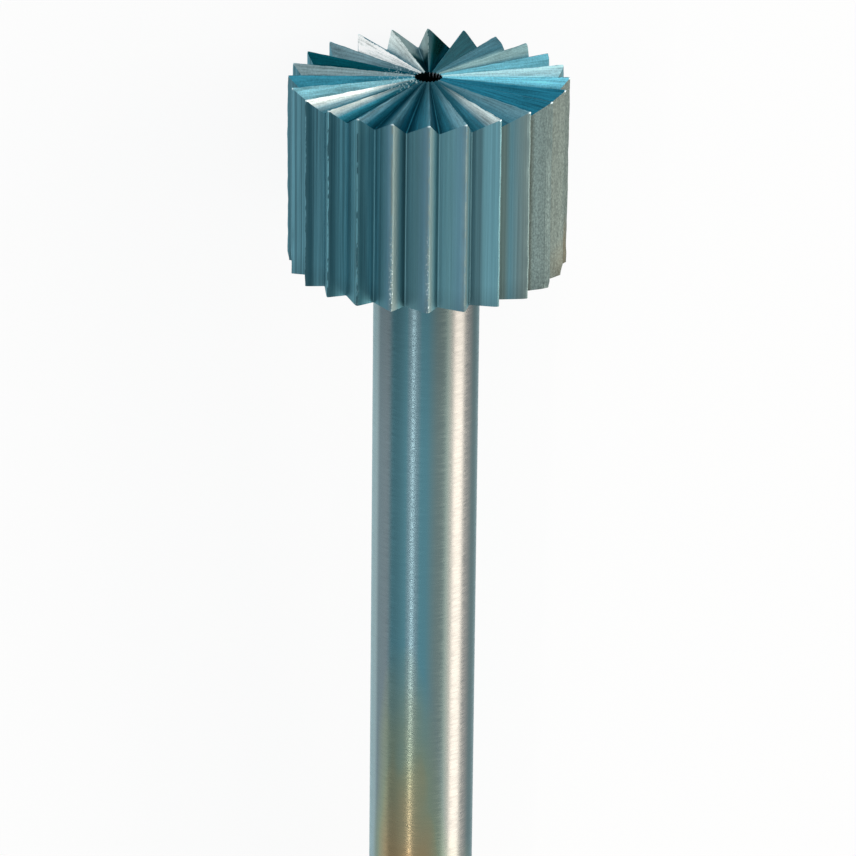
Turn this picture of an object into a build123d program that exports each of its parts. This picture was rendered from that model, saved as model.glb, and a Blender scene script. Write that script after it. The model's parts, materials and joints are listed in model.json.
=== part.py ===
"""Cylinder burr for a straight handpiece: head, teeth and shank cut from one bar of tool steel.

Modelled standing on its shank and then laid down, as a loose burr comes to rest: on two
teeth at the back of the head and on the rim of the shank's tail.
Millimetres and degrees. +Z is up, +X points along the burr towards the cutting head.
"""
import os
from math import atan2, cos, degrees, pi, radians, sin, tan

from build123d import *

# Shank
shank_diameter = 2.35
overall_length = 44.5
tail_chamfer = 0.25
neck_fillet = 0.4

# Cutting head
head_diameter = 6.16
head_length = 4.32
tooth_count = 24
flute_depth = 0.354
rake_step = 4.6
land_width = 0.03
flute_root_radius = 0.04

# End teeth and the relief drilled at their centre
end_flute_depth = 0.32
end_root_radius = 0.02
relief_diameter = 0.6
relief_depth = 0.45
drill_point_angle = 118

cutter_overrun = 1.0

# Sizes that follow
shank_radius = shank_diameter / 2
shank_length = overall_length - head_length
head_radius = head_diameter / 2
root_radius = head_radius - flute_depth
tooth_pitch = 360 / tooth_count
half_land = degrees(land_width / 2 / head_radius)
relief_radius = relief_diameter / 2
drill_point_height = relief_radius / tan(radians(drill_point_angle / 2))


def polar(radius, angle, height=0.0):
    """A point at an angle about the burr's own axis, counter-clockwise seen from its cutting end."""
    return Vector(radius * cos(radians(angle)), radius * sin(radians(angle)), height)


def turned_blank():
    """Shank, neck and toothless head, turned about Z with the back of the head at Z = 0."""
    arc_middle = neck_fillet * (1 - cos(pi / 4))
    tail = Polyline(
        (0, -shank_length),
        (shank_radius - tail_chamfer, -shank_length),
        (shank_radius, tail_chamfer - shank_length),
        (shank_radius, -neck_fillet),
    )
    neck = ThreePointArc(
        (shank_radius, -neck_fillet),
        (shank_radius + arc_middle, -arc_middle),
        (shank_radius + neck_fillet, 0),
    )
    head = Polyline(
        (shank_radius + neck_fillet, 0),
        (head_radius, 0),
        (head_radius, head_length),
        (relief_radius, head_length),
        (relief_radius, head_length - relief_depth),
        (0, head_length - relief_depth - drill_point_height),
        (0, -shank_length),
    )
    outline = make_face(tail + neck + head)
    return revolve(Plane.XZ * outline, Axis.Z)


def side_flute_cutter():
    """The groove between two side teeth: a steep rake face, a rounded root and a long back."""
    root = polar(root_radius, rake_step)
    rake_crest = polar(head_radius, half_land)
    back_crest = polar(head_radius, tooth_pitch - half_land)
    reach = 1 + cutter_overrun
    section = make_face(
        Polyline(
            root,
            root + (rake_crest - root) * reach,
            root + (back_crest - root) * reach,
            close=True,
        )
    )
    bottom = section.vertices().sort_by_distance(root)[0]
    section = fillet(bottom, flute_root_radius)
    length = head_length + 2 * cutter_overrun
    return Pos(0, 0, -cutter_overrun) * extrude(section, length)


def end_flute_cutter():
    """The groove between two end teeth, which deepens from the axis until it meets a side flute's root.

    An angle cutter makes it, fed outwards along its root line, so its section stays the same
    and the crests left between two passes are radial and lie in one plane.
    """
    centre = Vector(0, 0, head_length)
    feed = polar(root_radius, rake_step, -end_flute_depth).normalized()
    flanks = []
    for crest_angle in (half_land, tooth_pitch - half_land):
        crest = polar(1, crest_angle)
        flanks.append((crest - feed * crest.dot(feed)).normalized())
    height = head_radius
    section = make_face(
        Polyline(centre, centre + flanks[0] * height, centre + flanks[1] * height, close=True)
    )
    bottom = section.vertices().sort_by_distance(centre)[0]
    section = fillet(bottom, end_root_radius)
    return extrude(section, head_length, dir=feed)


def toothed_burr():
    """The finished burr, upright, with a valley between two teeth facing +X."""
    burr = turned_blank()
    for cutter in (side_flute_cutter(), end_flute_cutter()):
        burr -= [spot * cutter for spot in PolarLocations(0, tooth_count)]
    return Rot(0, 0, tooth_pitch / 2) * burr


def laid_down(burr):
    """The burr at rest on the plane Z = 0, centred over the origin."""
    drop_at_head = head_radius * cos(radians(tooth_pitch / 2 - half_land))
    tilt = atan2(drop_at_head - shank_radius, shank_length - tail_chamfer)
    resting = Rot(0, 90 - degrees(tilt), 0) * burr
    box = resting.bounding_box()
    return Pos(-box.center().X, -box.center().Y, -box.min.Z) * resting


burr = laid_down(toothed_burr())
burr.label = "burr"

os.makedirs("parts", exist_ok=True)
export_step(burr, "parts/burr.step")
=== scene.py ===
import json
from math import acos, cos, pi, radians, sin

import bpy
from mathutils import Matrix, Vector


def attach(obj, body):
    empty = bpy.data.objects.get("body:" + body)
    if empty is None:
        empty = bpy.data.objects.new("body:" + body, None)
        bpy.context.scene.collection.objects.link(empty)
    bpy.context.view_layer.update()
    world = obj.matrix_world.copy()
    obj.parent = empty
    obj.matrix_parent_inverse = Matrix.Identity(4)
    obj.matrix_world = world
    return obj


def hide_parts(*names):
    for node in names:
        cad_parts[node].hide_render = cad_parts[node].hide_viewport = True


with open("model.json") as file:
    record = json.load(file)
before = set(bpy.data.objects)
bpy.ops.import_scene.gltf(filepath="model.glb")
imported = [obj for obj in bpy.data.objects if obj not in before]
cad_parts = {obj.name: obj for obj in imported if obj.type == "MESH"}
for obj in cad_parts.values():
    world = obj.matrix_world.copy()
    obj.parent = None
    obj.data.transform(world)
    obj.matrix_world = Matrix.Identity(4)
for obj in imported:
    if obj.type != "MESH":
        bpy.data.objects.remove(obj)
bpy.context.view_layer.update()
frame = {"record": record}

millimetre = 0.001
scene = bpy.context.scene


def linearColour(code):
    # an sRGB hex code to the linear values that shaders and lamps take
    channels = [int(code[i:i + 2], 16) / 255 for i in (1, 3, 5)]
    return [c / 12.92 if c <= 0.04045 else ((c + 0.055) / 1.055) ** 2.4 for c in channels] + [1]


def addNode(tree, kind, inputs=(), output=0, **settings):
    # inputs, in order, by name or by number, are plain values or other nodes' outputs; gives back one
    # output. A Mix node's go by number: 0 is the share, 2 and 3 values, 4 and 5 vectors, 6 and 7 colours
    node = tree.nodes.new(kind)
    for name, value in settings.items():
        setattr(node, name, value)
    for key, value in inputs.items() if isinstance(inputs, dict) else enumerate(inputs):
        if isinstance(value, bpy.types.NodeSocket):
            tree.links.new(value, node.inputs[key])
        else:
            node.inputs[key].default_value = value
    return node.outputs[output] if node.outputs else None


# The burr: sizes in millimetres and degrees

burr = {
    "shankDiameter": 2.35,
    "overallLength": 44.5,
    "tailChamfer": 0.25,
    "neckFillet": 0.4,
    "headDiameter": 6.16,
    "headLength": 4.32,
    "toothCount": 24,
    "fluteDepth": 0.354,
    "rakeStep": 4.6,
    "landWidth": 0.03,
    "rootWidth": 0.03,
    "endFluteDepth": 0.32,
    "reliefDiameter": 0.6,
    "reliefDepth": 0.45,
    "drillPointHeight": 0.18,
    # wear of the crests: how deep fine nicks and a broad wave go, and how far they reach below a crest
    # on the side and on the end
    "crestWear": 0.016,
    "crestWave": 0.02,
    "sideReach": 0.06,
    "endReach": 0.04,
    "wearSeed": 7,
    # the noise behind each: its scale in a millimetre, its detail, and its values at none and at most
    "wearNoise": {"Crest wear": (2.6, 3.0, 0.35, 0.75), "Crest wave": (0.9, 1.0, 0.4, 0.7)},
    # worn spots: degrees round from the top tooth, height on the head, reach and depth
    "chips": [(150, 4.32, 0.30, 0.09), (120, 4.32, 0.22, 0.05), (75, 0.0, 0.35, 0.06),
              (60, 0.0, 0.20, 0.04), (-90, 0.0, 0.30, 0.05), (-30, 0.3, 0.12, 0.03),
              (-135, 1.4, 0.18, 0.05), (180, 2.6, 0.20, 0.04)],
    # how finely the surface is divided: columns across one tooth, rows along each stretch
    "columns": {"land": 1, "rake": 7, "root": 1, "back": 10},
    "rows": {"tailFace": 3, "chamfer": 2, "shank": 14, "neckStep": 1, "shoulder": 6, "side": 84,
             "end": 46, "reliefWall": 4, "reliefPoint": 3},
    "neckSteps": 5,
    "mergeWithin": 0.0001,
    "softBelow": 25,  # an edge that bends less than this is shaded smooth
    # how far the back of the head is from the shank's mount
    "mountToHead": 20.165,
    # the tooth nearest to the top when the burr lies at rest, about its own axis
    "topTooth": 172.5,
}

# which way the burr points, where the back of its head is, and how it is turned to lie down
mount = next(m for m in frame["record"]["mounts"] if m["name"] == "shank")
toolAxis = -Vector(mount["axis"]).normalized()
headBack = Vector(mount["pos_m"]) + toolAxis * burr["mountToHead"] * millimetre
layDown = Vector((0, acos(toolAxis.z), 0))


def burrSizes():
    # what the tree needs, worked out from the dictionary, in metres and radians
    headRadius = burr["headDiameter"] / 2
    rootRadius = headRadius - burr["fluteDepth"]
    pitch = 2 * pi / burr["toothCount"]
    halfLand = burr["landWidth"] / 2 / headRadius
    halfRoot = burr["rootWidth"] / 2 / rootRadius
    reliefFloor = burr["headLength"] - burr["reliefDepth"]
    lengths = {
        "Shank radius": burr["shankDiameter"] / 2,
        "Tail end": burr["headLength"] - burr["overallLength"],
        "Tail chamfer": burr["tailChamfer"],
        "Neck fillet": burr["neckFillet"],
        "Head radius": headRadius,
        "Head length": burr["headLength"],
        "Root radius": rootRadius,
        "End root": -burr["endFluteDepth"],
        "Relief radius": burr["reliefDiameter"] / 2,
        "Relief floor": reliefFloor,
        "Drill point": reliefFloor - burr["drillPointHeight"],
        "Crest wear": burr["crestWear"],
        "Crest wave": burr["crestWave"],
    }
    angles = {
        "Land end": halfLand,
        "Root start": radians(burr["rakeStep"]) - halfRoot,
        "Root end": radians(burr["rakeStep"]) + halfRoot,
        "Next land": pitch - halfLand,
        "Pitch": pitch,
    }
    return {name: value * millimetre for name, value in lengths.items()} | angles


def burrTree(sizes):
    tree = bpy.data.node_groups.new("toothedBurr", "GeometryNodeTree")
    for name in sizes:
        tree.interface.new_socket(name, in_out="INPUT", socket_type="NodeSocketFloat")
    for name, kind in (("Teeth", "Int"), ("Wear seed", "Int"), ("Place", "Vector"), ("Turn", "Vector"),
                       ("Finish", "Material")):
        tree.interface.new_socket(name, in_out="INPUT", socket_type="NodeSocket" + kind)
    tree.interface.new_socket("Geometry", in_out="OUTPUT", socket_type="NodeSocketGeometry")
    size = {socket.name: socket for socket in tree.nodes.new("NodeGroupInput").outputs}

    # one tooth pitch of the rim, from the middle of one crest to the middle of the next
    columns = burr["columns"]
    corners = [
        (size["Head radius"], 0.0, 0.0, 0),
        (size["Head radius"], size["Land end"], 0.0, columns["land"]),
        (size["Root radius"], size["Root start"], size["End root"], columns["rake"]),
        (size["Root radius"], size["Root end"], size["End root"], columns["root"]),
        (size["Head radius"], size["Next land"], 0.0, columns["back"]),
        (size["Head radius"], size["Pitch"], 0.0, columns["land"]),
    ]
    columnCount = 2 * columns["land"] + columns["rake"] + columns["root"] + columns["back"]
    # each stretch starts as a flat grid of 1 by 1 about the origin
    gridPlace = addNode(tree, "GeometryNodeInputPosition")
    gridX, gridY, _ = addNode(tree, "ShaderNodeSeparateXYZ", [gridPlace]).node.outputs
    column = addNode(tree, "ShaderNodeMapRange", [gridX, -0.5, 0.5, 0.0, columnCount])
    along = addNode(tree, "ShaderNodeMath", [gridY, 0.5], operation="ADD")
    rim = None
    reached = 0
    for radius, angle, height, count in corners:
        corner = addNode(tree, "ShaderNodeCombineXYZ", [radius, 0.0, height])
        corner = addNode(tree, "ShaderNodeVectorRotate", {"Vector": corner, "Angle": angle},
                         rotation_type="Z_AXIS")
        if count:
            part = addNode(tree, "ShaderNodeMapRange", [column, reached, reached + count])
            corner = addNode(tree, "ShaderNodeMix", {0: part, 4: rim, 5: corner}, output=1,
                             data_type="VECTOR")
        rim = corner
        reached += count
    outline = addNode(tree, "ShaderNodeVectorMath", [rim, (1, 1, 0)], operation="MULTIPLY")
    spoke = addNode(tree, "ShaderNodeVectorMath", [outline], operation="NORMALIZE")
    outlineRadius = addNode(tree, "ShaderNodeVectorMath", [outline], output=1, operation="LENGTH")

    tailRim = addNode(tree, "ShaderNodeMath", [size["Shank radius"], size["Tail chamfer"]],
                      operation="SUBTRACT")
    chamferTop = addNode(tree, "ShaderNodeMath", [size["Tail end"], size["Tail chamfer"]],
                         operation="ADD")
    neckStart = addNode(tree, "ShaderNodeMath", [size["Neck fillet"], -1], operation="MULTIPLY")
    inwards = addNode(tree, "ShaderNodeMath", [size["Relief radius"], outlineRadius], operation="DIVIDE")

    # the edges between the stretches, from the middle of the tail to the bottom of the relief:
    # what is scaled, by how much, how high it lies, and the rows of faces up to it
    rows = burr["rows"]
    edges = [
        (spoke, 0.0, size["Tail end"], 0),
        (spoke, tailRim, size["Tail end"], rows["tailFace"]),
        (spoke, size["Shank radius"], chamferTop, rows["chamfer"]),
        (spoke, size["Shank radius"], neckStart, rows["shank"]),
    ]
    for step in range(burr["neckSteps"]):
        turn = (step + 1) / burr["neckSteps"] * pi / 2
        radius = addNode(tree, "ShaderNodeMath",
                         [size["Neck fillet"], 1 - cos(turn), size["Shank radius"]],
                         operation="MULTIPLY_ADD")
        height = addNode(tree, "ShaderNodeMath", [size["Neck fillet"], sin(turn) - 1],
                         operation="MULTIPLY")
        edges.append((spoke, radius, height, rows["neckStep"]))
    edges += [
        (outline, 1.0, 0.0, rows["shoulder"]),
        (rim, 1.0, size["Head length"], rows["side"]),
        (rim, inwards, size["Head length"], rows["end"]),
        (spoke, size["Relief radius"], size["Relief floor"], rows["reliefWall"]),
        (spoke, 0.0, size["Drill point"], rows["reliefPoint"]),
    ]
    strips = tree.nodes.new("GeometryNodeJoinGeometry")
    below = None
    for line, scale, height, count in edges:
        lift = addNode(tree, "ShaderNodeCombineXYZ", [0.0, 0.0, height])
        edge = addNode(tree, "ShaderNodeVectorMath", {0: line, "Scale": scale}, operation="SCALE")
        edge = addNode(tree, "ShaderNodeVectorMath", [edge, lift], operation="ADD")
        if count:
            grid = addNode(tree, "GeometryNodeMeshGrid", [1.0, 1.0, columnCount + 1, count + 1])
            spot = addNode(tree, "ShaderNodeMix", {0: along, 4: below, 5: edge}, output=1,
                           data_type="VECTOR")
            strip = addNode(tree, "GeometryNodeSetPosition", {"Geometry": grid, "Position": spot})
            tree.links.new(strip, strips.inputs[0])
        below = edge

    # the tooth, with its share of the shank, goes all the way round
    spots = addNode(tree, "GeometryNodePoints", [size["Teeth"]])
    turn = addNode(tree, "GeometryNodeInputIndex")
    turn = addNode(tree, "ShaderNodeMath", [turn, 0.5], operation="ADD")
    turn = addNode(tree, "ShaderNodeMath", [turn, size["Pitch"]], operation="MULTIPLY")
    turn = addNode(tree, "ShaderNodeCombineXYZ", [0.0, 0.0, turn])
    whole = addNode(tree, "GeometryNodeInstanceOnPoints",
                    {"Points": spots, "Instance": strips.outputs[0], "Rotation": turn})
    whole = addNode(tree, "GeometryNodeRealizeInstances", [whole])
    whole = addNode(tree, "GeometryNodeMergeByDistance",
                    {"Geometry": whole, "Distance": burr["mergeWithin"] * millimetre})

    # crests have lost a little along their edges, unevenly
    place = addNode(tree, "GeometryNodeInputPosition")
    flat = addNode(tree, "ShaderNodeVectorMath", [place, (1, 1, 0)], operation="MULTIPLY")
    outwards = addNode(tree, "ShaderNodeVectorMath", [flat], operation="NORMALIZE")
    radius = addNode(tree, "ShaderNodeVectorMath", [flat], output=1, operation="LENGTH")
    height = addNode(tree, "ShaderNodeSeparateXYZ", [place], output=2)
    belowCrest = addNode(tree, "ShaderNodeMath", [size["Head radius"], radius], operation="SUBTRACT")
    belowEnd = addNode(tree, "ShaderNodeMath", [size["Head length"], height], operation="SUBTRACT")
    onCrest, onEnd = [
        addNode(tree, "ShaderNodeMapRange", [below, 0.0, reach * millimetre, 1.0, 0.0])
        for below, reach in ((belowCrest, burr["sideReach"]), (belowEnd, burr["endReach"]))]
    worn = {}
    for name, (scale, detail, low, high) in burr["wearNoise"].items():
        noise = addNode(tree, "ShaderNodeTexNoise", {"Vector": place, "W": size["Wear seed"],
                                                     "Scale": scale / millimetre, "Detail": detail},
                        noise_dimensions="4D")
        worn[name] = addNode(tree, "ShaderNodeMapRange", [noise, low, high, 0.0, size[name]])
    loss = addNode(tree, "ShaderNodeMath", [worn["Crest wear"], worn["Crest wave"]], operation="ADD")
    sideLoss = addNode(tree, "ShaderNodeMath", [loss, onCrest], operation="MULTIPLY")
    endLoss = addNode(tree, "ShaderNodeMath", [worn["Crest wear"], onEnd], operation="MULTIPLY")
    for around, spotHeight, reach, depth in burr["chips"]:
        angle = radians(burr["topTooth"] + around)
        spot = Vector((cos(angle), sin(angle), 0)) * burr["headDiameter"] / 2
        spot = (spot + Vector((0, 0, spotHeight))) * millimetre
        far = addNode(tree, "ShaderNodeVectorMath", [place, spot], output=1, operation="DISTANCE")
        chip = addNode(tree, "ShaderNodeMapRange",
                       [far, 0.0, reach * millimetre, depth * millimetre, 0.0],
                       interpolation_type="SMOOTHSTEP")
        sideLoss = addNode(tree, "ShaderNodeMath", [sideLoss, chip], operation="MAXIMUM")
    sideShift = addNode(tree, "ShaderNodeVectorMath", {0: outwards, "Scale": sideLoss},
                        operation="SCALE")
    endShift = addNode(tree, "ShaderNodeCombineXYZ", [0.0, 0.0, endLoss])
    shift = addNode(tree, "ShaderNodeVectorMath", [sideShift, endShift], operation="ADD")
    moved = addNode(tree, "ShaderNodeVectorMath", [place, shift], operation="SUBTRACT")
    whole = addNode(tree, "GeometryNodeSetPosition", {"Geometry": whole, "Position": moved})

    bend = addNode(tree, "GeometryNodeInputMeshEdgeAngle")
    soft = addNode(tree, "FunctionNodeCompare", [bend, radians(burr["softBelow"])],
                   operation="LESS_THAN")
    whole = addNode(tree, "GeometryNodeSetShadeSmooth", {"Geometry": whole, "Shade Smooth": soft},
                    domain="EDGE")
    whole = addNode(tree, "GeometryNodeTransform",
                    {"Geometry": whole, "Translation": size["Place"], "Rotation": size["Turn"]})
    whole = addNode(tree, "GeometryNodeRealizeInstances", [whole])
    whole = addNode(tree, "GeometryNodeSetMaterial", {"Geometry": whole, "Material": size["Finish"]})
    addNode(tree, "NodeGroupOutput", [whole])
    print("burr's tree made:", len(tree.nodes), "nodes")
    return tree


# The finish: high speed steel, hardened and heat blued after the teeth were cut.
# A metal with a thin oxide film: teal over most of it, greyer where the grain is open on one side,
# from dark petrol to bright cyan and bare pale steel on the end teeth, and from teal to olive and straw
# down the shank, where it was cooler. Some of the tones are painted light: reflections on the end teeth
# and at the shank's edges, shade on the steep flanks, at their roots, on the shank under the head, near
# the back of the head and in the relief, light on the relief's wall, highlights on the front crests, and
# glints and sparkle. The cutter left fine marks along the teeth, and the wheel fine rings round the
# shank.

petrol = "#0D6277"
deepTeal = "#24728A"
teal = "#469DB4"
cyan = "#80D8EE"
slate = "#6A93A0"
# bare pale steel, and a painted highlight where it stands on the end facets
bareSteelAndGlare = "#E6F4F4"

finish = {
    # the film's ground colour on each surface, and the tones over it: degrees round from the top tooth,
    # how far a tone reaches fully and how far it fades out, and its colour
    "surfaces": {
        "side": ("#6496A4", [(2, 16, 36, "#78A9B4"), (-36, 8, 26, "#6CA4B1"), (21, 2, 4, "#5A7F88"),
                             (34, 2, 5, "#6F8583"), (51, 6, 14, "#768A8A"), (50, 2, 4, "#5A6662"),
                             (80, 15, 28, "#636F6C")]),
        # on the end teeth these tones are partly the film's colour and partly painted reflection: the
        # near-white facets are painted highlights and the darkest ones stand for dark reflections
        "steepEnd": (petrol, [(-178, 8, 12, "#82938F"), (-165.5, 2, 6, "#DCE6E3"),
                              (-149, 4, 8, "#F4F8F7"), (-134, 4, 8, "#76969F"), (-119, 4, 8, "#0B5A66"),
                              (-104, 4, 8, "#9DB6BA"), (-89, 4, 8, teal), (-74, 4, 8, "#93D2DF"),
                              (-59, 4, 8, bareSteelAndGlare), (-44, 4, 8, "#96A5A7"), (-29, 4, 8, slate),
                              (-4, 14, 20, "#42707E")]),
        "longEnd": (petrol, [(-16, 8, 12, "#427685"), (9, 6, 11, slate), (25, 5, 9, "#BACACA"),
                             (40, 5, 9, "#5F8996"), (62, 12, 17, deepTeal), (93, 6, 11, cyan),
                             (107, 5, 9, "#B6E4EC"), (121, 5, 9, "#74BED0"), (137, 5, 9, "#88ABAD"),
                             (150, 3, 7, "#4A7683"), (161, 6, 9, "#225058"), (175, 6, 12, "#063A3C"),
                             (-170, 5, 9, "#6B7D79")]),
        # on the shank, the pale grey line at -13 degrees is a painted highlight along the edge strip's
        # reflection, the darker tone at 80 degrees painted shade, and the pale one at -76 degrees a
        # painted reflection
        "shank": ("#6496A2", [(-13, 3, 9, "#7896A0"), (26, 6, 26, "#7D8E8B"), (46, 12, 24, "#868785"),
                              (80, 12, 28, "#5F6A6A"), (-54, 8, 18, "#74848A"), (-76, 8, 18, "#9DAEB1")]),
    },
    # down the shank: from and to so many millimetres past the head, and what the colour turns to
    "temper": [(9.0, 12.0, "#8B9780"), (11.5, 14.6, "#AB8D66"), (17.0, 26.0, "#ABABA6")],
    "temperLag": 5.0,  # millimetres further from the head, away from the side that cooled first
    # tones over the film: its own, such as a brown patch, and painted shade on the steep flanks, at their
    # roots and in the relief, painted light on the relief's wall, a painted highlight on the crests, and
    # painted glints and sparkle
    "tones": {
        # painted shade on the steep flanks
        "shadedFlank": "#24505C",
        # painted shade at the roots of the steep flanks
        "shadedRoot": "#234A52",
        "nearCrest": "#6D93AE",
        # painted highlight on the crests, over crests partly worn bare
        "crest": "#8B9D9B",
        # painted glint at the worn tips and at nicks
        "tipGlint": "#E2F4F8",
        "brown": "#7D6B48",
        "endRoot": petrol,
        "grooveBottom": "#0F5465",
        # darker in some grooves towards the relief
        "innerDark": "#0F4452",
        # painted sparkle near the relief
        "paintedSparkle": "#D9F3F7",
        # painted shade in the deep relief
        "reliefShade": "#0A1618",
        # painted light on the relief's wall
        "litNotch": "#E4F4FF",
        # seen at a grazing angle, where it keeps its colour, and darker at the back of the end and in one
        # groove
        "grazing": "#CDE3E8",
        "darkGrazing": "#7A9590",
    },
    # where on the round each of these lies: degrees from the top tooth, full and fading reach
    "sectors": {
        "openGrain": (78, 32, 34),
        # the front crests, which carry painted highlights
        "frontCrests": (2, 16, 27),
        "frontGrooves": (-12, 40, 60),
        "backGrooves": (176, 10, 18),
        "leftGrooves": (-121, 10, 18),
        # where the steep flanks get painted shade
        "shadedFlanks": (-38, 22, 32),
        "cooledFirst": (-20, 4, 54),
        # where the painted sparkle lies
        "speckled": (-95, 30, 75),
        # where the relief's wall gets painted light
        "litWall": (135, 25, 55),
        "darkBack": (172, 3, 7),
        "darkGroove": (-172.5, 6, 8),
        # where the roots get painted shade and the crests painted glints at nicks
        "hollowRoots": (-10, 8, 22),
        "evenFlanks": (12, 30, 36),
    },
    # how each one comes in: from and to, and how strong it is at each of them where that isn't from none
    # to all of it
    "fades": {
        # how squarely a facet faces the way the end does
        "endFacet": (0.25, 0.35),
        # millimetres along the burr from the back of the head
        "head": (-0.25, -0.02),
        # painted shade: the shank darker just under the head
        "shadeUnderHead": (-4.0, -0.3, 1.0, 0.74),
        # painted shade: the side darker towards the back of the head
        "shadeNearBack": (0.0, 0.5, 0.78, 1.0),
        # where along the head the painted glints at nicks lie
        "nicked": (0.7, 2.0),
        # millimetres below a crest
        # painted shade down the steep flanks
        "shadedFlank": (0.27, 0.1, 0.1, 0.8),
        "nearCrest": (0.2, 0.05, 0.0, 0.5),
        # painted shade at the roots of the steep flanks
        "shadedRoot": (0.304, 0.154, 0.75, 0.0),
        # painted highlight on the steep flanks just below the front crests
        "highlightBand": (0.22, 0.1, 0.0, 0.75),
        # crests worn bare, with a painted highlight along them
        "bareAndLitCrest": (0.07, 0.02),
        # painted glints at nicks and tips, this far below a crest
        "nick": (0.05, 0.02),
        "rim": (0.045, 0.02),
        # millimetres below the end
        # painted glint at the tips
        "tipGlint": (0.05, 0.02),
        # how far down the relief's wall the painted light reaches
        "notch": (0.14, 0.05),
        # millimetres from the axis
        "nearHole": (0.4, 1.8, 0.9, 0.0),
        "deepNearHole": (0.4, 1.8, 0.8, 0.0),
        "darkGroove": (1.3, 1.7),
        # where the painted sparkle lies
        "speckled": (0.35, 1.2, 1.0, 0.0),
        # the slope down from the end, as the drop over the distance from the axis
        "endRoot": (0.016, 0.066),
        "grooveBottom": (0.082, 0.1),
        # the value of the noise or wave that it follows
        "warmth": (0.3, 0.7, -1.0, 1.0),
        "endStreak": (0.38, 0.62, 0.6, 1.4),
        "sideMark": (0.36, 0.64),
        # painted sparkle near the relief and painted glints at nicks follow these two
        "glint": (0.56, 0.6),
        "nickGrain": (0.56, 0.61),
        "shankGloss": (0.3, 0.7, 0.16, 0.34),
        # the notches of the painted light round the relief
        "notchWave": (0.5, 0.95),
    },
    # how strong each is outside its sector and in it
    "endRootFilm": (0.08, 0.95),
    "darkestMark": (0.64, 0.88),
    "lightestMark": (1.38, 1.12),
    # crests worn bare and given a painted highlight, most on the front
    "bareAndLitCrests": (0.05, 0.4),
    # the film at the bottom of a groove at its strongest, and how much of the marks is open grain
    "grooveBottomMost": 0.7,
    "grainOnSide": 0.65,
    "grainOnEnd": 0.3,
    # a brown patch: degrees round, height, full and fading reach, and strength
    "brownPatch": (86, 0.2, 0.3, 1.0, 0.4),
    # the relief's wall, painted dark as shade: how far past its radius it is still dark, and how little
    # it faces the end
    "reliefEdge": 0.01,
    "wallFacing": 0.7,
    # noises: how far each is drawn out in x, y and z, the width of its marks in millimetres, its detail
    # and its roughness. The cutter's and wheel's real marks and the real grain are about half as wide,
    # which is too fine to show. The last one is how unevenly the heat went down the shank.
    "marks": {
        "milling": ((1, 1, 140), 0.026, 4.0, 0.7),
        "fan": ((1, 1, 1), 0.026, 4.0, 0.7),
        "rings": ((8, 8, 1), 0.022, 3.0, 0.6),
        "grain": ((1, 1, 1.5), 0.02, 4.0, 0.65),
        "heat": ((1, 1, 3), 5 / 9, 2.0, 0.5),
    },
    "fanRadius": 3.0,  # the distance from the axis at which the end's marks are as wide as that
    "fanDrift": 0.045,  # how fast they change outwards
    # how deep the marks are, in millimetres
    "millingDepth": 0.004,
    "sideGrainDepth": 0.002,
    "fanDepth": 0.008,
    "endGrainDepth": 0.004,
    "ringDepth": 0.0008,
    # the milled teeth scatter light more than the ground shank
    "sideRoughness": 0.56,
    "endRoughness": 0.36,
}


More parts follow.
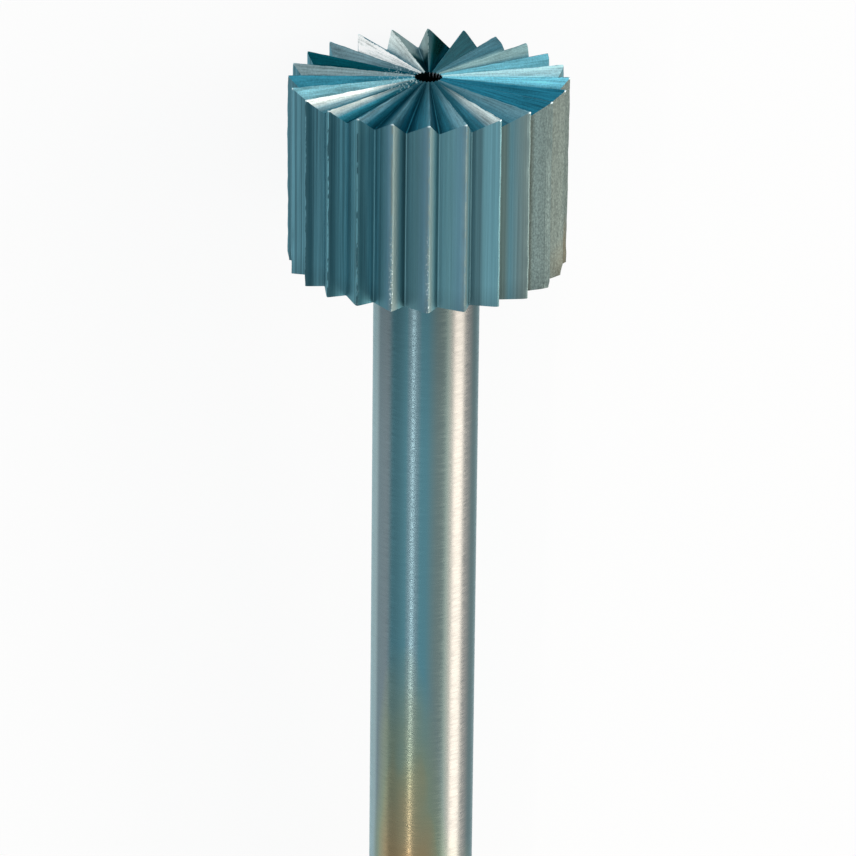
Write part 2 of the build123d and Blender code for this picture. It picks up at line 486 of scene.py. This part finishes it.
def bluedSteel():
    material = bpy.data.materials.new("heat-blued high speed steel")
    material.use_nodes = True
    tree = material.node_tree
    shader = tree.nodes["Principled BSDF"]
    shader.inputs["Metallic"].default_value = 1
    fade = finish["fades"]
    tone = {name: linearColour(code) for name, code in finish["tones"].items()}
    asColour = {"output": 2, "data_type": "RGBA"}

    # a point on the burr in millimetres: z along it from the back of the head, towards the cutting end
    coords = addNode(tree, "ShaderNodeTexCoord").node.outputs
    place = addNode(tree, "ShaderNodeMapping",
                    {"Vector": coords["Object"], "Location": headBack, "Rotation": layDown,
                     "Scale": (millimetre,) * 3}, vector_type="TEXTURE")
    facing = addNode(tree, "ShaderNodeMapping", {"Vector": coords["Normal"], "Rotation": layDown},
                     vector_type="TEXTURE")
    height = addNode(tree, "ShaderNodeSeparateXYZ", [place], output=2)
    flat = addNode(tree, "ShaderNodeVectorMath", [place, (1, 1, 0)], operation="MULTIPLY")
    spoke = addNode(tree, "ShaderNodeVectorMath", [flat], operation="NORMALIZE")
    radius = addNode(tree, "ShaderNodeVectorMath", [flat], output=1, operation="LENGTH")
    belowCrest = addNode(tree, "ShaderNodeMath", [burr["headDiameter"] / 2, radius],
                         operation="SUBTRACT")
    belowEnd = addNode(tree, "ShaderNodeMath", [burr["headLength"], height], operation="SUBTRACT")
    tangent = addNode(tree, "ShaderNodeVectorMath", [(0, 0, 1), spoke], operation="CROSS_PRODUCT")
    lean = addNode(tree, "ShaderNodeVectorMath", [facing, tangent], output=1, operation="DOT_PRODUCT")
    steep = addNode(tree, "ShaderNodeMath", [lean, 0.0], operation="GREATER_THAN")
    endFacing = addNode(tree, "ShaderNodeSeparateXYZ", [facing], output=2)
    onEnd = addNode(tree, "ShaderNodeMapRange", [endFacing, *fade["endFacet"]])
    onHead = addNode(tree, "ShaderNodeMapRange", [height, *fade["head"]])

    # marks: along the teeth, outwards on the end, round the shank, and an open grain
    fanned = addNode(tree, "ShaderNodeVectorMath", {0: spoke, "Scale": finish["fanRadius"]},
                     operation="SCALE")
    drift = addNode(tree, "ShaderNodeMath", [radius, finish["fanDrift"]], operation="MULTIPLY")
    drift = addNode(tree, "ShaderNodeCombineXYZ", [0.0, 0.0, drift])
    fanned = addNode(tree, "ShaderNodeVectorMath", [fanned, drift], operation="ADD")
    mark = {}
    for name, (stretch, width, detail, roughness) in finish["marks"].items():
        spot = fanned if name == "fan" else place
        spot = addNode(tree, "ShaderNodeVectorMath", [spot, stretch], operation="DIVIDE")
        mark[name] = addNode(tree, "ShaderNodeTexNoise", {"Vector": spot, "Scale": 0.5 / width,
                                                          "Detail": detail, "Roughness": roughness})

    # how far a point lies in a part of the round, from 0 to 1
    def inSector(around, inner, outer):
        angle = radians(burr["topTooth"] + around)
        near = addNode(tree, "ShaderNodeVectorMath", [spoke, (cos(angle), sin(angle), 0)], output=1,
                       operation="DOT_PRODUCT")
        return addNode(tree, "ShaderNodeMapRange", [near, cos(radians(outer)), cos(radians(inner))],
                       interpolation_type="SMOOTHSTEP")

    part = {name: inSector(*reach) for name, reach in finish["sectors"].items()}

    # the oxide's colour on each surface
    film = {}
    for surface, (ground, patches) in finish["surfaces"].items():
        colour = linearColour(ground)
        for around, inner, outer, code in patches:
            colour = addNode(tree, "ShaderNodeMix", {0: inSector(around, inner, outer), 6: colour,
                                                     7: linearColour(code)}, **asColour)
        film[surface] = colour

    # less heat down the shank: olive, straw, then bright
    warmth = addNode(tree, "ShaderNodeMapRange", [mark["heat"], *fade["warmth"]])
    heat = addNode(tree, "ShaderNodeMath", [height, warmth], operation="ADD")
    later = addNode(tree, "ShaderNodeMapRange",
                    [part["cooledFirst"], 0.0, 1.0, finish["temperLag"], 0.0])
    heat = addNode(tree, "ShaderNodeMath", [heat, later], operation="ADD")
    shank = film["shank"]
    for start, stop, code in finish["temper"]:
        cooler = addNode(tree, "ShaderNodeMapRange", [heat, -start, -stop])
        shank = addNode(tree, "ShaderNodeMix", {0: cooler, 6: shank, 7: linearColour(code)}, **asColour)
    # painted shade on the shank just under the head
    shadeUnderHead = addNode(tree, "ShaderNodeMapRange", [height, *fade["shadeUnderHead"]])
    shank = addNode(tree, "ShaderNodeVectorMath", {0: shank, "Scale": shadeUnderHead}, operation="SCALE")

    # darker towards the roots of the end teeth and at the bottom of some grooves
    end = addNode(tree, "ShaderNodeMix", {0: steep, 6: film["longEnd"], 7: film["steepEnd"]}, **asColour)
    slope = addNode(tree, "ShaderNodeMath", [belowEnd, radius], operation="DIVIDE")
    rootFilm = addNode(tree, "ShaderNodeMapRange",
                       [part["frontGrooves"], 0.0, 1.0, *finish["endRootFilm"]])
    atRoot = addNode(tree, "ShaderNodeMapRange", [slope, *fade["endRoot"], 0.0, rootFilm])
    thickest = part["frontGrooves"]
    for name in ("backGrooves", "leftGrooves"):
        thickest = addNode(tree, "ShaderNodeMath", [thickest, part[name]], operation="MAXIMUM")
    nearHole = addNode(tree, "ShaderNodeMapRange", [radius, *fade["nearHole"]])
    bottom = addNode(tree, "ShaderNodeMapRange",
                     [slope, *fade["grooveBottom"], nearHole, finish["grooveBottomMost"]])
    bottom = addNode(tree, "ShaderNodeMath", [bottom, thickest], operation="MULTIPLY")
    for amount, name in ((atRoot, "endRoot"), (bottom, "grooveBottom")):
        end = addNode(tree, "ShaderNodeMix", {0: amount, 6: end, 7: tone[name]}, **asColour)

    # streaked along the marks, darker in some grooves towards the relief, and with painted sparkle near
    # it
    endMark = addNode(tree, "ShaderNodeMix", {0: finish["grainOnEnd"], 2: mark["fan"], 3: mark["grain"]})
    streak = addNode(tree, "ShaderNodeMapRange", [endMark, *fade["endStreak"]])
    end = addNode(tree, "ShaderNodeVectorMath", {0: end, "Scale": streak}, operation="SCALE")
    darkGroove = addNode(tree, "ShaderNodeMapRange",
                         [radius, *fade["darkGroove"], part["darkGroove"], 0.0])
    deep = addNode(tree, "ShaderNodeMapRange", [radius, *fade["deepNearHole"]])
    deep = addNode(tree, "ShaderNodeMath", [deep, part["frontGrooves"]], operation="MULTIPLY")
    # painted sparkle, speckled near the relief
    speckled = addNode(tree, "ShaderNodeMapRange", [radius, *fade["speckled"]])
    speckled = addNode(tree, "ShaderNodeMath", [speckled, part["speckled"]], operation="MULTIPLY")
    paintedSparkle = addNode(tree, "ShaderNodeMapRange", [mark["grain"], *fade["glint"], 0.0, speckled])
    for amount, name in ((darkGroove, "innerDark"), (deep, "innerDark"), (paintedSparkle, "paintedSparkle")):
        end = addNode(tree, "ShaderNodeMix", {0: amount, 6: end, 7: tone[name]}, **asColour)

    # the side has marks along it, or open grain
    grainy = addNode(tree, "ShaderNodeMath", [part["openGrain"], finish["grainOnSide"]],
                     operation="MULTIPLY")
    sideMark = addNode(tree, "ShaderNodeMix", {0: grainy, 2: mark["milling"], 3: mark["grain"]})
    low, high = [addNode(tree, "ShaderNodeMapRange", [part["evenFlanks"], 0.0, 1.0, *finish[name]])
                 for name in ("darkestMark", "lightestMark")]
    sideMark = addNode(tree, "ShaderNodeMapRange", [sideMark, *fade["sideMark"], low, high])
    side = addNode(tree, "ShaderNodeVectorMath", {0: film["side"], "Scale": sideMark}, operation="SCALE")

    # and painted shade on the steep flanks and at their roots, a brown patch, and painted highlights on
    # the front crests, which are partly worn bare
    shaded = addNode(tree, "ShaderNodeMapRange", [belowCrest, *fade["shadedFlank"]])
    # painted shade at the roots of the steep flanks
    hollow = addNode(tree, "ShaderNodeMapRange", [belowCrest, *fade["shadedRoot"]])
    bright = addNode(tree, "ShaderNodeMapRange", [belowCrest, *fade["highlightBand"]])
    shaded, hollow, bright = [
        addNode(tree, "ShaderNodeMath",
                [addNode(tree, "ShaderNodeMath", [band, steep], operation="MULTIPLY"), part[name]],
                operation="MULTIPLY")
        for band, name in ((shaded, "shadedFlanks"), (hollow, "hollowRoots"), (bright, "frontCrests"))]
    onLong = addNode(tree, "ShaderNodeMath", [1.0, steep], operation="SUBTRACT")
    onLong = addNode(tree, "ShaderNodeMath", [onLong, part["frontCrests"]], operation="MULTIPLY")
    bluer = addNode(tree, "ShaderNodeMapRange", [belowCrest, *fade["nearCrest"]])
    bluer = addNode(tree, "ShaderNodeMath", [bluer, onLong], operation="MULTIPLY")
    around, patchHeight, *patchFade = finish["brownPatch"]
    angle = radians(burr["topTooth"] + around)
    middle = Vector((cos(angle), sin(angle), 0)) * burr["headDiameter"] / 2 + Vector((0, 0, patchHeight))
    patch = addNode(tree, "ShaderNodeVectorMath", [place, middle], output=1, operation="DISTANCE")
    patch = addNode(tree, "ShaderNodeMapRange", [patch, *patchFade, 0.0])
    # crests partly worn bare and partly a painted highlight, most on the front
    bareAndLitMost = addNode(tree, "ShaderNodeMapRange", [part["frontCrests"], 0.0, 1.0, *finish["bareAndLitCrests"]])
    bareAndLit = addNode(tree, "ShaderNodeMapRange", [belowCrest, *fade["bareAndLitCrest"], 0.0, bareAndLitMost])
    for amount, name in ((shaded, "shadedFlank"), (bluer, "nearCrest"), (hollow, "shadedRoot"),
                         (patch, "brown"), (bright, "crest"), (bareAndLit, "crest")):
        side = addNode(tree, "ShaderNodeMix", {0: amount, 6: side, 7: tone[name]}, **asColour)
    # painted shade, darker towards the back of the head
    shadeNearBack = addNode(tree, "ShaderNodeMapRange", [height, *fade["shadeNearBack"]])
    side = addNode(tree, "ShaderNodeVectorMath", {0: side, "Scale": shadeNearBack}, operation="SCALE")

    # painted glints at nicks low on the front crests, and at the tips where two edges meet
    nick = addNode(tree, "ShaderNodeMapRange", [height, *fade["nicked"], part["hollowRoots"], 0.0])
    nick = addNode(tree, "ShaderNodeMapRange", [belowCrest, *fade["nick"], 0.0, nick])
    nick = addNode(tree, "ShaderNodeMapRange", [mark["grain"], *fade["nickGrain"], 0.0, nick])
    side = addNode(tree, "ShaderNodeMix", {0: nick, 6: side, 7: tone["tipGlint"]}, **asColour)
    head = addNode(tree, "ShaderNodeMix", {0: onEnd, 6: side, 7: end}, **asColour)
    tipGlint = addNode(tree, "ShaderNodeMapRange", [belowCrest, *fade["rim"]])
    tipGlint = addNode(tree, "ShaderNodeMapRange", [belowEnd, *fade["tipGlint"], 0.0, tipGlint])
    head = addNode(tree, "ShaderNodeMix", {0: tipGlint, 6: head, 7: tone["tipGlint"]}, **asColour)

    # the relief painted dark as shade, with painted light on one side of its wall near the rim, where the
    # end's grooves run into it
    around = addNode(tree, "ShaderNodeSeparateXYZ", [spoke]).node.outputs
    around = addNode(tree, "ShaderNodeMath", [around["Y"], around["X"]], operation="ARCTAN2")
    notch = addNode(tree, "ShaderNodeMath", [around, burr["toothCount"]], operation="MULTIPLY")
    notch = addNode(tree, "ShaderNodeMath", [notch], operation="SINE")
    notch = addNode(tree, "ShaderNodeMapRange", [notch, *fade["notchWave"]])
    nearRim = addNode(tree, "ShaderNodeMapRange", [belowEnd, *fade["notch"], 0.0, part["litWall"]])
    notch = addNode(tree, "ShaderNodeMath", [notch, nearRim], operation="MULTIPLY")
    relief = addNode(tree, "ShaderNodeMix", {0: notch, 6: tone["reliefShade"], 7: tone["litNotch"]}, **asColour)
    reliefEdge = burr["reliefDiameter"] / 2 + finish["reliefEdge"]
    inRelief = addNode(tree, "ShaderNodeMath", [radius, reliefEdge], operation="LESS_THAN")
    offEnd = addNode(tree, "ShaderNodeMath", [endFacing, finish["wallFacing"]], operation="LESS_THAN")
    inRelief = addNode(tree, "ShaderNodeMath", [inRelief, offEnd], operation="MULTIPLY")
    head = addNode(tree, "ShaderNodeMix", {0: inRelief, 6: head, 7: relief}, **asColour)

    colour = addNode(tree, "ShaderNodeMix", {0: onHead, 6: shank, 7: head}, **asColour)
    tree.links.new(colour, shader.inputs["Base Color"])
    darkEdge = addNode(tree, "ShaderNodeMath", [part["darkBack"], darkGroove], operation="MAXIMUM")
    darkEdge = addNode(tree, "ShaderNodeMath", [darkEdge, onEnd], operation="MULTIPLY")
    tint = addNode(tree, "ShaderNodeMix", {0: darkEdge, 6: tone["grazing"], 7: tone["darkGrazing"]},
                   **asColour)
    tree.links.new(tint, shader.inputs["Specular Tint"])

    headRough = addNode(tree, "ShaderNodeMapRange",
                        [onEnd, 0.0, 1.0, finish["sideRoughness"], finish["endRoughness"]])
    shankRough = addNode(tree, "ShaderNodeMapRange", [mark["rings"], *fade["shankGloss"]])
    rough = addNode(tree, "ShaderNodeMapRange", [onHead, 0.0, 1.0, shankRough, headRough])
    tree.links.new(rough, shader.inputs["Roughness"])

    # the marks as heights: their noise times their depth
    sideMarks = addNode(tree, "ShaderNodeMath", [mark["milling"], finish["millingDepth"]],
                        operation="MULTIPLY")
    sideMarks = addNode(tree, "ShaderNodeMath", [mark["grain"], finish["sideGrainDepth"], sideMarks],
                        operation="MULTIPLY_ADD")
    endMarks = addNode(tree, "ShaderNodeMath", [mark["fan"], finish["fanDepth"]], operation="MULTIPLY")
    endMarks = addNode(tree, "ShaderNodeMath", [mark["grain"], finish["endGrainDepth"], endMarks],
                       operation="MULTIPLY_ADD")
    shankMarks = addNode(tree, "ShaderNodeMath", [mark["rings"], finish["ringDepth"]],
                         operation="MULTIPLY")
    headMarks = addNode(tree, "ShaderNodeMix", {0: onEnd, 2: sideMarks, 3: endMarks})
    marks = addNode(tree, "ShaderNodeMix", {0: onHead, 2: shankMarks, 3: headMarks})
    bump = addNode(tree, "ShaderNodeBump", {"Strength": 1.0, "Distance": millimetre, "Height": marks})
    tree.links.new(bump, shader.inputs["Normal"])
    print("finish made:", len(tree.nodes), "nodes")
    return material


def makeBurr():
    # the tree's result, turned into a plain mesh that stands for the CAD node
    sizes = burrSizes()
    tree = burrTree(sizes)
    piece = bpy.data.objects.new("toothedBurr", bpy.data.meshes.new("toothedBurr"))
    scene.collection.objects.link(piece)
    modifier = piece.modifiers.new("toothedBurr", "NODES")
    modifier.node_group = tree
    values = sizes | {"Teeth": burr["toothCount"], "Wear seed": burr["wearSeed"], "Place": headBack,
                      "Turn": layDown, "Finish": bluedSteel()}
    for socket in tree.interface.items_tree:
        if socket.in_out == "INPUT":
            modifier[socket.identifier] = values[socket.name]
    evaluated = piece.evaluated_get(bpy.context.evaluated_depsgraph_get())
    mesh = bpy.data.meshes.new_from_object(evaluated)
    piece.modifiers.remove(modifier)
    piece.data = mesh
    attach(piece, "root")
    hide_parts("burr")
    print("burr made:", sum(len(face.vertices) - 2 for face in mesh.polygons), "triangles")


# The studio: a direction is so many degrees round the burr from the camera's side, and so many
# towards the cutting end

studio = {
    # the camera: millimetres, the degrees it leans, rolls and stands round from the top tooth, and
    # the point it aims at
    "lens": 273.58,
    "sensor": 36,
    "cameraDistance": 144.766,
    "cameraLean": 23.3166,
    "cameraRoll": 0.6183,
    "topToothOffAim": 0.5628,
    "aimAside": 0.066,
    "aimBehindEnd": 8.3307,
    # what it sees, in metres from it
    "nearest": 0.01,
    "farthest": 20,
    # the floor: half its side in metres, its colour, and how much of what the camera sees is plain white
    "floorHalf": 3.0,
    "floor": "#F4F4F4",
    "whiteShare": 0.9,
    # lamps: the two degrees of its direction, its distance, width and length in metres, how bright its
    # face is, where 1 is white, and its colour
    "lamps": {
        "key softbox": (78, -10, 0.5, 0.22, 0.9, 3.3, "#FFEFE2"),
        "key shoulder": (75, 0, 0.55, 0.58, 1.1, 1.0, "#FFF2E2"),
        "edge strip": (-26, -15, 0.5, 0.02, 0.8, 6.0, "#FFF2EA"),
    },
    # the room's light is weaker on one side: its colour, the direction of that side, how squarely
    # another direction points there where the light starts and stops falling off, and its strength
    "world": "#E9F1F4",
    "darkSide": (-72, 5),
    "darkSideFade": (0.75, 0.97, 0.75, 0.3),
}

upwards = Matrix.Rotation(layDown.y, 3, "Y") @ Vector((-1, 0, 0))
topTooth = Matrix.Rotation(radians(burr["topTooth"] - 180), 3, toolAxis) @ upwards
front = Matrix.Rotation(radians(-studio["topToothOffAim"]), 3, toolAxis) @ topTooth
aside = toolAxis.cross(front)


def towardsStudio(around, rise):
    around, rise = radians(around), radians(rise)
    return (front * cos(around) + aside * sin(around)) * cos(rise) + toolAxis * sin(rise)


def addCamera():
    lens = bpy.data.cameras.new("camera")
    lens.lens = studio["lens"]
    lens.sensor_width = studio["sensor"]
    lens.clip_start = studio["nearest"]
    lens.clip_end = studio["farthest"]
    camera = bpy.data.objects.new("camera", lens)
    scene.collection.objects.link(camera)
    aimAlong = burr["headLength"] - studio["aimBehindEnd"]
    aim = headBack + (toolAxis * aimAlong + aside * studio["aimAside"]) * millimetre
    back = towardsStudio(0, studio["cameraLean"])
    right = Matrix.Rotation(radians(studio["cameraRoll"]), 3, back) @ aside
    turn = Matrix((right, back.cross(right), back)).transposed()
    place = aim + back * studio["cameraDistance"] * millimetre
    camera.matrix_world = Matrix.Translation(place) @ turn.to_4x4()
    scene.camera = camera


def addFloor():
    half = studio["floorHalf"]
    mesh = bpy.data.meshes.new("floor")
    mesh.from_pydata([(-half, -half, 0), (half, -half, 0), (half, half, 0), (-half, half, 0)], [],
                     [(0, 1, 2, 3)])
    floor = bpy.data.objects.new("floor", mesh)
    scene.collection.objects.link(floor)
    # matt paper spreads light evenly and has no gloss, and shows as near white behind the burr
    material = bpy.data.materials.new("matt white paper")
    material.use_nodes = True
    tree = material.node_tree
    tree.nodes.clear()
    seen = addNode(tree, "ShaderNodeLightPath").node.outputs
    direct = addNode(tree, "ShaderNodeMath", [seen["Is Camera Ray"], seen["Is Glossy Ray"]],
                     operation="MAXIMUM")
    direct = addNode(tree, "ShaderNodeMath", [direct, seen["Is Transmission Ray"]], operation="MAXIMUM")
    white = addNode(tree, "ShaderNodeMath", [direct, studio["whiteShare"]], operation="MULTIPLY")
    paper = addNode(tree, "ShaderNodeBsdfDiffuse", {"Color": linearColour(studio["floor"])})
    backdrop = addNode(tree, "ShaderNodeEmission", {"Strength": 1.0})
    surface = addNode(tree, "ShaderNodeMixShader", [white, paper, backdrop])
    addNode(tree, "ShaderNodeOutputMaterial", [surface])
    mesh.materials.append(material)


def addLamp(name, around, rise, distance, width, length, brightness, colour):
    lamp = bpy.data.lights.new(name, "AREA")
    lamp.shape = "RECTANGLE"
    lamp.size = width
    lamp.size_y = length
    lamp.color = linearColour(colour)[:3]
    lamp.energy = brightness * width * length * pi
    holder = bpy.data.objects.new(name, lamp)
    back = towardsStudio(around, rise)
    sideways = toolAxis.cross(back).normalized()
    turn = Matrix((sideways, back.cross(sideways), back)).transposed()
    holder.matrix_world = Matrix.Translation(headBack + back * distance) @ turn.to_4x4()
    holder.visible_camera = False
    scene.collection.objects.link(holder)


def addWorld():
    world = bpy.data.worlds.new("studio")
    scene.world = world
    world.use_nodes = True
    tree = world.node_tree
    way = addNode(tree, "ShaderNodeTexCoord", output="Generated")
    darkSide = towardsStudio(*studio["darkSide"])
    near = addNode(tree, "ShaderNodeVectorMath", [way, darkSide], output=1, operation="DOT_PRODUCT")
    strength = addNode(tree, "ShaderNodeMapRange", [near, *studio["darkSideFade"]])
    background = tree.nodes["Background"]
    background.inputs["Color"].default_value = linearColour(studio["world"])
    tree.links.new(strength, background.inputs["Strength"])


makeBurr()
addCamera()
print("camera set")
addFloor()
addWorld()
for name, values in studio["lamps"].items():
    addLamp(name, *values)
scene.view_settings.view_transform = "Standard"
print("studio set:", len(studio["lamps"]), "lamps")
